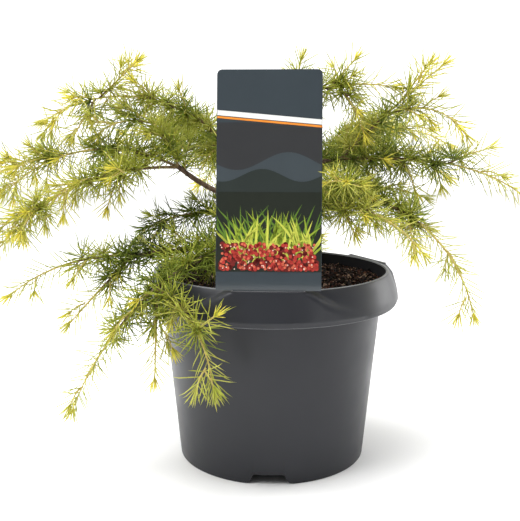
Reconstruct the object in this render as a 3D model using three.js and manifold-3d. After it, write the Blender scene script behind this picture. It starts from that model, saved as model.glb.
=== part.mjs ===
import * as THREE from 'three';
import { mergeVertices } from 'three/addons/utils/BufferGeometryUtils.js';
import Module from 'manifold-3d';

// A young deodar cedar in its nursery pot, with a plant label in the pot's rim.
// Millimetres and degrees, +Z up. The origin is the centre of the pot's underside.

const wasm = await Module();
wasm.setup();

// ---------------------------------------------------------------------------
// Driving dimensions
// ---------------------------------------------------------------------------

const gap = 0.3; // between two pieces that rest on or spring from each other
const margin = 2; // how far a cutting shape runs past what it cuts

const pot = {
  sides: 48,
  turn: -2.4, // how far the label's side is turned from -Y
  wall: 2,
  chamfer: 1,
  footRadius: 85.6,
  floorHeight: 9.4, // underside of the floor
  floorThickness: 2.4,
  centreFootRadius: 16,
  shoulderHeight: 158, // where the wall turns out into the rim
  shoulderRadius: 101,
  ridgeInner: 103.7,
  ridgeOuter: 107,
  height: 172.6,
  ridgeDepth: 5, // from the rim's ridge down to its underside
  skirtSlopeRadius: 111.5,
  skirtSlopeHeight: 162.6,
  skirtRadius: 115,
  skirtWidest: 147.6,
  skirtBottom: 143.5,
  lipRadius: 113.2,
};

const notch = { count: 3, topWidth: 26, bottomWidth: 43, height: 8.5, depth: 8, round: 6, ease: 2 };

// A pocket is a flat-fronted swelling of the rim with a slot for a label's tongue. Its shoulders round in
// at the top and its flanks sweep out below: [height, how far the flank has swept out].
const pocket = {
  count: 3,
  width: 86,
  front: 108.2,
  back: 100,
  proud: 0.5, // of the skirt that it merges into
  slot: 1.6,
  slotWidth: 60,
  slotDepth: 10,
  columns: 6,
  merge: [148, 173], // from as round as the skirt at the first height to flat at the second
  flanks: [[148, 14], [158.5, 12], [161, 5], [166, 0], [170, -5], [173, -12]],
};

const pocketTop = pocket.flanks.at(-1)[0];
const pocketReach = Math.hypot(pocket.width / 2, pocket.front);

const label = {
  width: 83.4,
  tongue: 56,
  thickness: 1,
  place: 105.8,
  lean: 10,
  bendHeight: 178,
  top: 345.4,
  corner: 4,
};

const soil = { sides: 40, height: 161, edgeDrop: 2.5, edgeWidth: 7, rimRoom: 1, footRound: [3, 4] };

const trunk = {
  foot: [2, 6],
  sides: 10,
  footRadius: 6.2,
  tipRadius: 2,
  flare: 5.5,
  flareHeight: 18,
  lobes: 5,
  lobeDepth: 0.35,
  rings: [-0.04, 0.01, 0.03, 0.06, 0.1, 0.2, 0.32, 0.44, 0.56, 0.68, 0.8, 0.9, 1], // shares of its length
};

const limbs = { sides: 5, footRadius: 2.3, tipRadius: 1.5, spur: 7 };

// Twigs are slim prisms whose needles stand out of their faces, one needle a face in each whorl.
const twigs = {
  stem: { sides: 5, radius: 1.3, whorls: 24 },
  fork: { sides: 4, radius: 1.1, whorls: 22 },
  side: { sides: 3, radius: 1, whorls: 18 },
  tip: 0.6,
};

// A line of the tree grows in steps; its azimuth turns by the swing and its pitch falls by the droop on
// the way: [azimuth, swing, rise, droop, bend, length], where bend is the exponent of the fall.
const growth = { step: 20 };

const trunkLine = [5, 0, 79, -9, 1, 172];

// Each bough: [height of its foot on the trunk, then its line].
const boughSizes = {
  left: [67, 187, 2, 2, -38, 1, 106],
  left_high: [98, 171, 0, 24, -6, 1, 72],
  left_low: [59, 176, 0, 6, 8, 1, 62],
  left_under: [52, 206, -14, -16, -14, 1, 142],
  front_left: [45, 226, -8, 0, 27, 1, 146],
  right: [98, 350, 6, 24, 14, 1, 48],
  right_top: [150, 15, 0, 50, 0, 1, 30],
  right_low: [70, 342, 0, 18, 8, 1, 54],
  right_front: [62, 300, 4, 18, 14, 1, 66],
  back_left: [94, 132, 6, 20, 4, 1, 84],
  back: [82, 92, 0, 18, 14, 1, 92],
  back_fall: [52, 84, 0, 12, 40, 1, 124],
  back_right: [90, 52, -6, 22, 6, 1, 76],
};

const firstSeed = 11; // of the masses of foliage, which are seeded in their order

// Each mass of foliage: the bough that carries it, or its height on the trunk; the line of its stem;
// and its forks, each as [share of the stem, then its line].
const massSizes = {
  left_droop: {
    from: 'left',
    stem: [194, 8, 2, 60, 1.2, 190],
    forks: [[0.26, 205, 0, -52, 24, 1, 34], [0.62, 196, 10, -12, 46, 1, 64]],
  },
  left_out: { from: 'left', stem: [170, 2, 27, 72, 1, 182], forks: [[0.6, 172, 0, 0, 30, 1, 74]] },
  left_green: { from: 'left', stem: [140, 24, 70, 64, 1, 92], forks: [[0.55, 184, 0, 16, 60, 1, 56]] },
  left_crown: {
    from: 'left_high',
    stem: [174, 2, 44, 78, 1, 180],
    forks: [[0.68, 345, 0, 40, 0, 1, 50], [0.7, 230, 0, -50, 4, 1, 44]],
  },
  left_shade: {
    from: 'left_low',
    stem: [164, 0, 2, 30, 1, 76],
    forks: [[0.68, 222, -14, -50, -20, 1, 42]],
  },
  left_tail: { from: 'left_under', stem: [188, 0, 2, 42, 1.2, 112], forks: [] },
  left_tail_low: { from: 'left_under', stem: [206, 12, -42, 0, 1, 80], forks: [] },
  front_left_out: { from: 'front_left', stem: [180, -8, -42, 26, 1, 130], forks: [] },
  front_left_drop: { from: 'front_left', stem: [268, 0, -74, 0, 1, 74], forks: [] },
  front_left_in: {
    from: 'front_left',
    stem: [332, -38, -22, 50, 1, 103],
    forks: [[0.5, 320, 0, 36, 0, 1, 26]],
  },
  right_long: {
    from: 'right',
    stem: [355, -8, 1, 52, 2.2, 190],
    forks: [[0.5, 20, 0, 24, 14, 1, 46], [0.42, 340, 0, -50, 30, 1, 24], [0.27, 330, 0, -40, 40, 1, 34]],
  },
  right_up: {
    from: 'right',
    stem: [354, -2, 46, 6, 1, 120],
    forks: [[0.62, 16, 0, 56, 10, 1, 40], [0.42, 345, -18, 34, 90, 1, 84]],
  },
  right_top: {
    from: 'right_top',
    stem: [352, 0, 14, 24, 1, 70],
    forks: [[0.2, 12, 0, 48, 0, 1, 34], [0.3, 322, -20, -44, 20, 1, 54]],
  },
  right_dense: { from: 'right_low', stem: [12, -10, 14, 38, 1, 78], forks: [] },
  right_tail: { from: 'right_low', stem: [340, -40, -8, 62, 1.2, 168], forks: [] },
  right_near: { from: 'right_low', stem: [268, -4, 14, 8, 1, 82], forks: [] },
  right_front: {
    from: 'right_front',
    stem: [333, -14, 4, 50, 1, 96],
    forks: [[0.14, 298, 0, -46, 4, 1, 28]],
  },
  leader: { from: 172, stem: [340, 0, 88, 16, 1, 28], forks: [] },
  crown_left: { from: 128, stem: [168, 0, 42, 30, 1, 56], forks: [] },
  crown_back: { from: 138, stem: [82, 0, 44, 40, 1, 72], forks: [] },
  front_short: { from: 84, stem: [262, 0, 26, 50, 1, 62], forks: [] },
  back_left_high: {
    from: 'back_left',
    stem: [146, 8, 30, 64, 1, 160],
    forks: [[0.34, 112, 0, 22, 60, 1, 84]],
  },
  back_left_low: { from: 'back_left', stem: [108, -6, -6, 30, 1, 124], forks: [] },
  back: {
    from: 'back',
    stem: [96, 0, 4, 76, 1, 128],
    forks: [[0.25, 66, 0, 4, 60, 1, 74], [0.3, 118, -8, 0, 60, 1, 70]],
  },
  back_fall_left: { from: 'back_fall', stem: [128, 20, -34, 36, 1, 110], forks: [] },
  back_fall_right: { from: 'back_fall', stem: [48, -20, -30, 36, 1, 116], forks: [] },
  back_right_high: {
    from: 'back_right',
    stem: [34, -8, 32, 60, 1, 156],
    forks: [[0.32, 60, 0, 26, 54, 1, 76]],
  },
  back_right_low: { from: 'back_right', stem: [66, -10, -4, 42, 1, 126], forks: [] },
  back_mid: { from: 114, stem: [104, 0, 34, 60, 1, 112], forks: [] },
  left_back: { from: 'back_left', stem: [176, -6, 8, 40, 1, 118], forks: [] },
  right_back: { from: 'back_right', stem: [2, 10, 12, 48, 1, 118], forks: [] },
};

// Side shoots leave a stem or fork on alternate sides.
const shoots = {
  spacing: 40,
  place: [0.35, 0.5], // where in its spacing each one leaves, least share and how much more
  baseLength: 16,
  lengthShare: 0.16, // of the line it leaves
  lengthRange: [0.7, 0.6],
  taper: 0.55, // how much shorter they are at the line's tip
  angle: [38, 24], // least angle from the line, and how much more it may be
  roll: [-25, 80], // least roll above the line's own plane, and how much more it may be
  droop: 35,
};

// A needle leaves its face at the spread angle. In the last whorl of a twig it is shorter and closer.
const needles = {
  length: 29,
  lengthRange: [0.85, 0.3],
  foot: 3.6,
  spread: [50, 10], // least angle from the twig, and how much more it may be
  whorlPlace: 0.9, // where in its share of the twig each whorl stands
  tipShare: 0.62, // of the length, at the tip
  tipSpread: 26,
  bud: 8,
};

// Twigs and needles keep this far inside their own mass's space, off the limbs, and off pot and label.
// Over the soil they keep within the rim's ridge.
const clearance = { between: 2.6, limb: 1.6, pot: 2, rim: 4 };
const testShares = [0.4, 0.7, 1]; // where along a twig or needle its clearance is tested

// ---------------------------------------------------------------------------
// Materials
// ---------------------------------------------------------------------------

const finish = (color, roughness) => new THREE.MeshStandardMaterial({ color, roughness, metalness: 0 });

const materials = {
  pot: finish(0x45474b, 0.5),
  label: finish(0x49525a, 0.4),
  soil: finish(0x2a1d15, 0.95),
  bark: finish(0x6b543c, 0.9),
  gold: finish(0xa6a63a, 0.6),
  green: finish(0x62762f, 0.6),
};

// ---------------------------------------------------------------------------
// Solids and meshes
// ---------------------------------------------------------------------------

const { Manifold } = wasm;

function toSolid(geometry) {
  const bare = geometry.clone();
  bare.deleteAttribute('normal');
  bare.deleteAttribute('uv');
  const merged = mergeVertices(bare, 1e-4);
  return new Manifold(new wasm.Mesh({
    numProp: 3,
    vertProperties: new Float32Array(merged.attributes.position.array),
    triVerts: new Uint32Array(merged.index.array),
  }));
}

function toMesh(name, solid, material) {
  const { vertProperties, triVerts } = solid.getMesh();
  const geometry = new THREE.BufferGeometry();
  geometry.setAttribute('position', new THREE.BufferAttribute(vertProperties, 3));
  geometry.setIndex(new THREE.BufferAttribute(triVerts, 1));
  geometry.computeVertexNormals();
  const mesh = new THREE.Mesh(geometry, material);
  mesh.name = name;
  return mesh;
}

// The body of a solid, without any scrap that a cut left loose.
function mainBody(solid) {
  return solid.decompose().reduce((a, b) => (b.volume() > a.volume() ? b : a));
}

// A lathe turned round Z, from a profile of [radius, height] pairs.
function turned(profile, sides) {
  const points = profile.map(([radius, height]) => new THREE.Vector2(radius, height));
  return toSolid(new THREE.LatheGeometry(points, sides).rotateX(Math.PI / 2));
}

// ---------------------------------------------------------------------------
// Lines of the tree
// ---------------------------------------------------------------------------

const radians = THREE.MathUtils.degToRad;
const degrees = THREE.MathUtils.radToDeg;

function heading(azimuth, pitch) {
  const [a, p] = [radians(azimuth), radians(pitch)];
  return new THREE.Vector3(Math.cos(p) * Math.cos(a), Math.cos(p) * Math.sin(a), Math.sin(p));
}

function grow(start, [azimuth, swing, rise, droop, bend, length]) {
  const steps = Math.max(2, Math.round(length / growth.step));
  const line = [start.clone()];
  for (let i = 0; i < steps; i += 1) {
    const t = (i + 0.5) / steps;
    const way = heading(azimuth + swing * t, rise - droop * t ** bend);
    line.push(line[i].clone().addScaledVector(way, length / steps));
  }
  return line;
}

// The point at a share of a line's length, and the line's direction there.
function along(line, share) {
  const place = share * (line.length - 1);
  const i = Math.min(Math.floor(place), line.length - 2);
  const point = line[i].clone().lerp(line[i + 1], place - i);
  const way = line[i + 1].clone().sub(line[i]).normalize();
  return { point, way };
}

function lineLength(line) {
  return line.slice(1).reduce((sum, point, i) => sum + point.distanceTo(line[i]), 0);
}

// The part of a line between two lengths from its start. No inner point stays close to either end.
function cutLine(line, from, to) {
  const total = lineLength(line);
  const close = 1;
  const inner = line.filter((point, i) => {
    const reached = (i / (line.length - 1)) * total;
    return reached > from + close && reached < to - close;
  });
  return [along(line, from / total).point, ...inner, along(line, Math.min(1, to / total)).point];
}

// A direction square to the line's own, level where the line isn't upright.
function levelAcross(way) {
  const across = new THREE.Vector3().crossVectors(way, new THREE.Vector3(0, 0, 1));
  const upright = across.length() < 0.05;
  return upright ? new THREE.Vector3(1, 0, 0) : across.normalize();
}

// The share of a line's length at which each of its points lies.
function pointShares(line) {
  const reached = [0];
  line.slice(1).forEach((point, i) => reached.push(reached[i] + point.distanceTo(line[i])));
  return reached.map((length) => length / reached.at(-1));
}

// A tapering limb of flat sides round a line. radiusAt gives the radius from the share of the length and
// the angle round the limb.
function limb(line, radiusAt, sides) {
  const steps = line.length - 1;
  const shares = pointShares(line);
  const geometry = new THREE.CylinderGeometry(1, 1, 1, sides, steps);
  const position = geometry.attributes.position;
  const rings = [];
  let across = levelAcross(along(line, 0).way);
  for (let i = 0; i <= steps; i += 1) {
    const before = line[Math.max(0, i - 1)];
    const after = line[Math.min(steps, i + 1)];
    const way = after.clone().sub(before).normalize();
    across = across.clone().addScaledVector(way, -across.dot(way)).normalize();
    rings.push({ across, up: new THREE.Vector3().crossVectors(across, way) });
  }
  for (let i = 0; i < position.count; i += 1) {
    const share = position.getY(i) + 0.5;
    const ring = Math.round(share * steps);
    const [x, z] = [position.getX(i), position.getZ(i)];
    const angle = Math.atan2(z, x);
    const radius = Math.hypot(x, z) < 1e-6 ? 0 : radiusAt(shares[ring], angle);
    const point = line[ring].clone()
      .addScaledVector(rings[ring].across, radius * Math.cos(angle))
      .addScaledVector(rings[ring].up, radius * Math.sin(angle));
    position.setXYZ(i, point.x, point.y, point.z);
  }
  return toSolid(geometry);
}

const taper = (foot, tip) => (share) => foot + (tip - foot) * share;

// Random numbers between 0 and 1, the same ones for the same seed.
function seeded(seed) {
  let state = seed;
  return () => {
    state = (state + 0x6d2b79f5) | 0;
    let t = Math.imul(state ^ (state >>> 15), 1 | state);
    t = (t + Math.imul(t ^ (t >>> 7), 61 | t)) ^ t;
    return ((t ^ (t >>> 14)) >>> 0) / 4294967296;
  };
}

const between = (random, [least, more]) => least + more * random();

// The direction that leaves a line at an angle from it, rolled round it from level; side is 1 or -1.
function leaving(way, angle, roll, side) {
  const level = levelAcross(way);
  const over = new THREE.Vector3().crossVectors(level, way);
  return way.clone().multiplyScalar(Math.cos(radians(angle)))
    .addScaledVector(level, side * Math.cos(radians(roll)) * Math.sin(radians(angle)))
    .addScaledVector(over, Math.sin(radians(roll)) * Math.sin(radians(angle)));
}

// ---------------------------------------------------------------------------
// Skeleton: the lines of trunk, boughs, stems, forks and side shoots
// ---------------------------------------------------------------------------

const [trunkX, trunkY] = trunk.foot;
const axis = grow(new THREE.Vector3(trunkX, trunkY, soil.height + gap), trunkLine);
const trunkHeight = trunkLine.at(-1);
const onTrunk = (height) => along(axis, height / trunkHeight).point;

const boughs = Object.entries(boughSizes).map(([name, [foot, ...line]]) => ({
  name,
  line: grow(onTrunk(foot), line),
}));

const masses = Object.entries(massSizes).map(([name, { from, stem, forks }], i) => {
  const bough = boughs.find((one) => one.name === from);
  const main = grow(bough ? bough.line.at(-1) : onTrunk(from), stem);
  const branches = forks.map(([share, ...line]) => grow(along(main, share).point, line));
  return { name, bough, seed: firstSeed + i, lines: [main, ...branches] };
});

function sideShoots(line, random) {
  const length = lineLength(line);
  const count = Math.floor(length / shoots.spacing);
  const grown = [];
  for (let k = 0; k < count; k += 1) {
    const share = (k + between(random, shoots.place)) / count;
    const { point, way } = along(line, share);
    const roll = between(random, shoots.roll);
    const angle = between(random, shoots.angle);
    const out = leaving(way, angle, roll, k % 2 ? 1 : -1);
    const azimuth = degrees(Math.atan2(out.y, out.x));
    const full = (shoots.baseLength + shoots.lengthShare * length) * (1 - shoots.taper * share);
    const reach = full * between(random, shoots.lengthRange);
    grown.push(grow(point, [azimuth, 0, degrees(Math.asin(out.z)), shoots.droop, 1, reach]));
  }
  return grown;
}

// ---------------------------------------------------------------------------
// Spaces: where the twigs and needles of a mass may be
// ---------------------------------------------------------------------------

function distanceToLine(point, line) {
  const segment = new THREE.Line3();
  const nearest = new THREE.Vector3();
  let least = Infinity;
  for (let i = 0; i < line.length - 1; i += 1) {
    segment.set(line[i], line[i + 1]).closestPointToPoint(point, true, nearest);
    least = Math.min(least, nearest.distanceTo(point));
  }
  return least;
}

const distanceToLines = (point, lines) => Math.min(...lines.map((line) => distanceToLine(point, line)));

function clearOfPot({ x, y, z }) {
  const room = clearance.pot;
  const radius = Math.hypot(x, y);
  const overSoil = radius < pot.ridgeInner - clearance.rim && z > soil.height + room;
  const overRim = z > pocketTop + room;
  const wallReach = z > pot.skirtBottom - room ? pocketReach : pot.shoulderRadius;
  return z > room && (overSoil || overRim || radius > wallReach + room);
}

const labelFace = (z) => -label.place + Math.max(0, z - label.bendHeight) * Math.tan(radians(label.lean));

function clearOfLabel(point) {
  const room = clearance.pot;
  const { x, y, z } = point.clone().applyAxisAngle(new THREE.Vector3(0, 0, 1), -radians(pot.turn));
  const beyond = Math.abs(x) > label.width / 2 + room || z > label.top + room;
  return beyond || Math.abs(y - labelFace(z)) > label.thickness / 2 + room;
}

function inOwnSpace(point, mass) {
  const limit = distanceToLines(point, mass.lines) + clearance.between;
  return distanceToLine(point, axis) > trunk.footRadius + clearance.limb
    && boughs.every((one) => distanceToLine(point, one.line) > limbs.footRadius + clearance.limb)
    && masses.every((other) => other === mass || distanceToLines(point, other.lines) > limit)
    && clearOfPot(point)
    && clearOfLabel(point);
}

const mayGrow = (line, mass) => testShares.every((share) => inOwnSpace(along(line, share).point, mass));

// ---------------------------------------------------------------------------
// Parts of the pot
// ---------------------------------------------------------------------------

function potWall() {
  const p = pot;
  const inner = p.footRadius - p.wall;
  const floorTop = p.floorHeight + p.floorThickness;
  const skirtInner = p.skirtRadius - p.wall;
  return turned([
    [0, 0],
    [p.centreFootRadius, 0],
    [p.centreFootRadius + p.wall, p.floorHeight],
    [inner, p.floorHeight],
    [inner, 0],
    [p.footRadius - p.chamfer, 0],
    [p.footRadius, p.chamfer],
    [p.shoulderRadius, p.shoulderHeight],
    [p.ridgeInner + p.chamfer, p.height - p.ridgeDepth],
    [p.skirtSlopeRadius - p.wall, p.skirtSlopeHeight - p.wall],
    [skirtInner, p.skirtWidest],
    [p.lipRadius - p.wall, p.skirtBottom],
    [p.lipRadius, p.skirtBottom],
    [p.skirtRadius, p.skirtWidest],
    [p.skirtSlopeRadius, p.skirtSlopeHeight],
    [p.ridgeOuter, p.height - p.chamfer],
    [(p.ridgeInner + p.ridgeOuter) / 2, p.height],
    [p.ridgeInner, p.height - p.chamfer],
    [p.shoulderRadius - p.wall, p.shoulderHeight],
    [inner, floorTop],
    [0, floorTop],
  ], p.sides);
}

// A solid of an outline in X and Z, deep along -Y from a distance in front of the axis.
function frontal(shape, from, to) {
  const settings = { depth: to - from, bevelEnabled: false, curveSegments: 4 };
  const geometry = new THREE.ExtrudeGeometry(shape, settings);
  return toSolid(geometry.rotateX(Math.PI / 2).translate(0, -from, 0));
}

// A notch in the pot's foot, whose lower corners are rounded out.
function notchShape() {
  const top = notch.topWidth / 2;
  const bottom = notch.bottomWidth / 2;
  const side = bottom - notch.round;
  const shape = new THREE.Shape();
  shape.moveTo(-bottom, -margin);
  shape.lineTo(bottom, -margin);
  shape.lineTo(bottom, 0);
  shape.quadraticCurveTo(side + notch.ease, 0, side, notch.round / 2);
  shape.lineTo(top, notch.height);
  shape.lineTo(-top, notch.height);
  shape.lineTo(-side, notch.round / 2);
  shape.quadraticCurveTo(-side - notch.ease, 0, -bottom, 0);
  return shape;
}

// How far in front of the axis the pocket's face lies: flat at the top, as round as the skirt below.
function pocketFace(x, z) {
  const round = Math.sqrt((pot.skirtRadius + pocket.proud) ** 2 - x ** 2);
  return THREE.MathUtils.mapLinear(z, ...pocket.merge, round, pocket.front);
}

// A box whose rows lie at the flanks' heights and whose front is bent to the pocket's face.
function pocketSolid() {
  const rows = pocket.flanks.length - 1;
  const geometry = new THREE.BoxGeometry(2, 1, rows, pocket.columns, 1, rows);
  const position = geometry.attributes.position;
  for (let i = 0; i < position.count; i += 1) {
    const [height, sweep] = pocket.flanks[Math.round(position.getZ(i) + rows / 2)];
    const x = position.getX(i) * (pocket.width / 2 + sweep);
    const y = position.getY(i) < 0 ? pocketFace(x, height) : pocket.back;
    position.setXYZ(i, x, -y, height);
  }
  return toSolid(geometry);
}

function slotSolid() {
  const height = 2 * pocket.slotDepth; // it runs out past the pocket's top
  const box = new THREE.BoxGeometry(pocket.slotWidth, pocket.slot, height);
  return toSolid(box.translate(0, -label.place, pocketTop));
}

// The pot's upright inner space at the rim, which the pocket stays out of.
function rimSpace() {
  const [low, high] = [pot.skirtBottom, pocketTop + margin];
  return turned([[0, low], [pot.ridgeInner, low], [pot.ridgeInner, high], [0, high]], pot.sides);
}

// Copies of a solid, turned evenly round Z.
const around = (solid, count) => Array.from({ length: count }, (_, k) => (
  solid.rotate([0, 0, (k * 360) / count])
));

function makePot() {
  const panels = around(pocketSolid().subtract(rimSpace()), pocket.count);
  const slots = around(slotSolid(), pocket.count);
  const radial = [pot.footRadius - notch.depth, pot.footRadius + margin];
  const notches = around(frontal(notchShape(), ...radial), notch.count);
  const whole = Manifold.union([potWall(), ...panels]);
  return whole.subtract(Manifold.union([...slots, ...notches])).rotate([0, 0, pot.turn]);
}

// The label's tongue stands upright in its slot, and the label leans back above the rim.
function makeLabel() {
  const foot = pocketTop - pocket.slotDepth + gap;
  const shoulder = pocketTop + gap;
  const half = label.width / 2;
  const outline = new THREE.Shape();
  outline.moveTo(-label.tongue / 2, foot);
  outline.lineTo(label.tongue / 2, foot);
  outline.lineTo(label.tongue / 2, shoulder);
  outline.lineTo(half, shoulder);
  outline.lineTo(half, label.top - label.corner);
  outline.absarc(half - label.corner, label.top - label.corner, label.corner, 0, Math.PI / 2, false);
  outline.absarc(-half + label.corner, label.top - label.corner, label.corner, Math.PI / 2, Math.PI, false);
  outline.lineTo(-half, shoulder);
  outline.lineTo(-label.tongue / 2, shoulder);
  const front = frontal(outline, 0, label.place + margin);

  const thick = label.thickness / 2;
  const profile = new THREE.Shape();
  const heights = [foot - margin, label.bendHeight, label.top + margin];
  heights.forEach((z, i) => profile[i ? 'lineTo' : 'moveTo'](labelFace(z) - thick, z));
  heights.toReversed().forEach((z) => profile.lineTo(labelFace(z) + thick, z));
  const side = new THREE.ExtrudeGeometry(profile, { depth: label.width + 2 * margin, bevelEnabled: false })
    .rotateX(Math.PI / 2)
    .rotateZ(Math.PI / 2)
    .translate(-half - margin, 0, 0);
  return front.intersect(toSolid(side)).rotate([0, 0, pot.turn]);
}

function makeSoil() {
  const floor = pot.floorHeight + pot.floorThickness + gap;
  const foot = pot.footRadius - pot.wall - gap;
  const wallSlope = (pot.shoulderRadius - pot.footRadius) / pot.shoulderHeight;
  const rimRadius = foot + wallSlope * (soil.height - soil.edgeDrop) - soil.rimRoom;
  const [roundWidth, roundHeight] = soil.footRound;
  return turned([
    [0, floor],
    [foot - roundWidth, floor],
    [foot, floor + roundHeight],
    [rimRadius, soil.height - soil.edgeDrop],
    [rimRadius - soil.edgeWidth, soil.height],
    [0, soil.height],
  ], soil.sides);
}

// ---------------------------------------------------------------------------
// Parts of the tree
// ---------------------------------------------------------------------------

// The trunk's radius swells into lobes at its flared foot.
function trunkRadius(share, angle) {
  const rise = Math.max(0, share * trunkHeight) / trunk.flareHeight;
  const flare = trunk.flare * Math.max(0, 1 - rise) ** 2;
  const lobed = 1 + trunk.lobeDepth * Math.cos(trunk.lobes * angle);
  return taper(trunk.footRadius, trunk.tipRadius)(share) + flare * lobed;
}

// The trunk, cut flat at the soil; swollen all over by a given thickness.
function makeTrunk(swelling) {
  const points = trunk.rings.map((share) => {
    const { point, way } = along(axis, Math.max(0, share));
    return point.addScaledVector(way, Math.min(0, share) * trunkHeight + (share === 1 ? swelling : 0));
  });
  const radiusAt = (share, angle) => {
    const first = trunk.rings[0];
    return trunkRadius(first + share * (1 - first), angle) + swelling;
  };
  return limb(points, radiusAt, trunk.sides).trimByPlane([0, 0, 1], soil.height + gap);
}

function makeBough(bough, trunkSpace) {
  const main = limb(bough.line, taper(limbs.footRadius, limbs.tipRadius), limbs.sides);
  const spurs = masses.filter((mass) => mass.bough === bough)
    .map((mass) => limb(cutLine(mass.lines[0], 0, limbs.spur), () => limbs.tipRadius, limbs.sides));
  return mainBody(Manifold.union([main, ...spurs]).subtract(trunkSpace));
}

// A twig round a line: a tapering prism with a ring of faces at each whorl. Each such face is drawn out
// into a needle where mayHold allows the needle's line, and the last ring runs out into a bud of needles.
function makeTwig(line, { sides, radius, whorls }, random, mayHold) {
  const length = lineLength(line);
  const count = Math.max(1, Math.round(length / whorls));
  const spacing = (length - needles.foot) / count;
  const places = Array.from({ length: count }, (_, k) => (k + needles.whorlPlace) * spacing);
  const rings = [0, ...places.flatMap((place) => [place - needles.foot / 2, place + needles.foot / 2])];
  const positions = [];
  const faces = [];
  let across = levelAcross(along(line, 0).way);
  const turn = 360 * random();

  rings.forEach((place) => {
    const { point, way } = along(line, Math.max(0, place) / length);
    across = across.clone().addScaledVector(way, -across.dot(way)).normalize();
    const up = new THREE.Vector3().crossVectors(across, way);
    const thickness = taper(radius, twigs.tip)(place / length);
    for (let j = 0; j < sides; j += 1) {
      const angle = radians(turn + (360 * j) / sides);
      positions.push(point.clone()
        .addScaledVector(across, thickness * Math.cos(angle))
        .addScaledVector(up, -thickness * Math.sin(angle)));
    }
  });

  for (let j = 1; j < sides - 1; j += 1) faces.push([0, j + 1, j]);
  for (let i = 0; i < rings.length - 1; i += 1) {
    const whorl = i % 2 === 1;
    const last = i === rings.length - 2;
    const { point, way } = along(line, rings[i + 1] / length);
    for (let j = 0; j < sides; j += 1) {
      const next = (j + 1) % sides;
      const [a, b] = [i * sides + j, i * sides + next];
      const [c, d] = [a + sides, b + sides];
      const middle = positions[a].clone().add(positions[d]).multiplyScalar(0.5);
      const outward = middle.clone().sub(point);
      outward.addScaledVector(way, -outward.dot(way)).normalize();
      const spread = radians(last ? needles.tipSpread : between(random, needles.spread));
      const lean = way.clone().multiplyScalar(Math.cos(spread)).addScaledVector(outward, Math.sin(spread));
      const full = needles.length * (last ? needles.tipShare : 1);
      const tip = middle.clone().addScaledVector(lean, full * between(random, needles.lengthRange));
      if (whorl && mayHold([middle, tip])) {
        const peak = positions.push(tip) - 1;
        faces.push([a, b, peak], [b, d, peak], [d, c, peak], [c, a, peak]);
      } else {
        faces.push([a, b, c], [b, d, c]);
      }
    }
  }
  const end = along(line, 1);
  const bud = positions.push(end.point.clone().addScaledVector(end.way, needles.bud)) - 1;
  const top = (rings.length - 1) * sides;
  for (let j = 0; j < sides; j += 1) faces.push([top + j, top + ((j + 1) % sides), bud]);

  const geometry = new THREE.BufferGeometry().setFromPoints(positions);
  geometry.setIndex(faces.flat());
  return toSolid(geometry);
}

function makeMass(mass, trunkSpace) {
  const random = seeded(mass.seed);
  const [stem, ...forks] = mass.lines;
  const start = mass.bough ? limbs.spur + gap : 0;
  const visible = cutLine(stem, start, lineLength(stem));
  const sides = mass.lines.flatMap((line) => sideShoots(line, random)).filter((line) => mayGrow(line, mass));
  const mayHold = (line) => mayGrow(line, mass);
  const twigOf = (kind) => (line) => makeTwig(line, twigs[kind], random, mayHold);
  const pieces = [twigOf('stem')(visible), ...forks.map(twigOf('fork')), ...sides.map(twigOf('side'))];
  const solid = Manifold.union(pieces);
  return mainBody(mass.bough ? solid : solid.subtract(trunkSpace));
}

// ---------------------------------------------------------------------------
// The whole plant
// ---------------------------------------------------------------------------

const tree = new THREE.Group();
tree.add(toMesh('pot', makePot(), materials.pot));
tree.add(toMesh('label', makeLabel(), materials.label));
tree.add(toMesh('soil', makeSoil(), materials.soil));
tree.add(toMesh('trunk', makeTrunk(0), materials.bark));

const trunkSpace = makeTrunk(gap);
for (const bough of boughs) {
  tree.add(toMesh(`bough_${bough.name}`, makeBough(bough, trunkSpace), materials.bark));
}
for (const mass of masses) {
  const shaded = mass.name.startsWith('back') || mass.name === 'left_shade';
  const material = shaded ? materials.green : materials.gold;
  tree.add(toMesh(`foliage_${mass.name}`, makeMass(mass, trunkSpace), material));
}

export default tree;
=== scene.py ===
"""A young deodar cedar in its nursery pot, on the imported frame. Sizes are in millimetres."""
from math import asin, atan2, ceil, cos, degrees, dist, hypot, pi, radians, sin, sqrt, tan, tau
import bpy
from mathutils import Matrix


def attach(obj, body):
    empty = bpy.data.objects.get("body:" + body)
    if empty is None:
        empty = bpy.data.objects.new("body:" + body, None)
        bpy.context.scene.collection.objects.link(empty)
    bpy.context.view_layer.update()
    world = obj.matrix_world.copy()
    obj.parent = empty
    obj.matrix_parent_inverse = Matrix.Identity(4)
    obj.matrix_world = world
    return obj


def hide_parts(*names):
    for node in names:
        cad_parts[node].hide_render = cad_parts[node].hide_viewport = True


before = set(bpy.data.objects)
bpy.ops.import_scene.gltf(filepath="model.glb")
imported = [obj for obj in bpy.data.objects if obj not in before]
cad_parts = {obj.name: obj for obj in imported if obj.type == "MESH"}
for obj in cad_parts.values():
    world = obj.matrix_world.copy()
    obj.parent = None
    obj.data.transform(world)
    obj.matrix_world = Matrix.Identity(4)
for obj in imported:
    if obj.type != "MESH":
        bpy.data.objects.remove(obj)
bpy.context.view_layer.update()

from types import SimpleNamespace as Values

import bpy
import numpy as np
from numpy.linalg import norm
from mathutils import Vector, noise

MM = 0.001  # a mesh is in metres

# --- Sizes shared with the part's source ---

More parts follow.
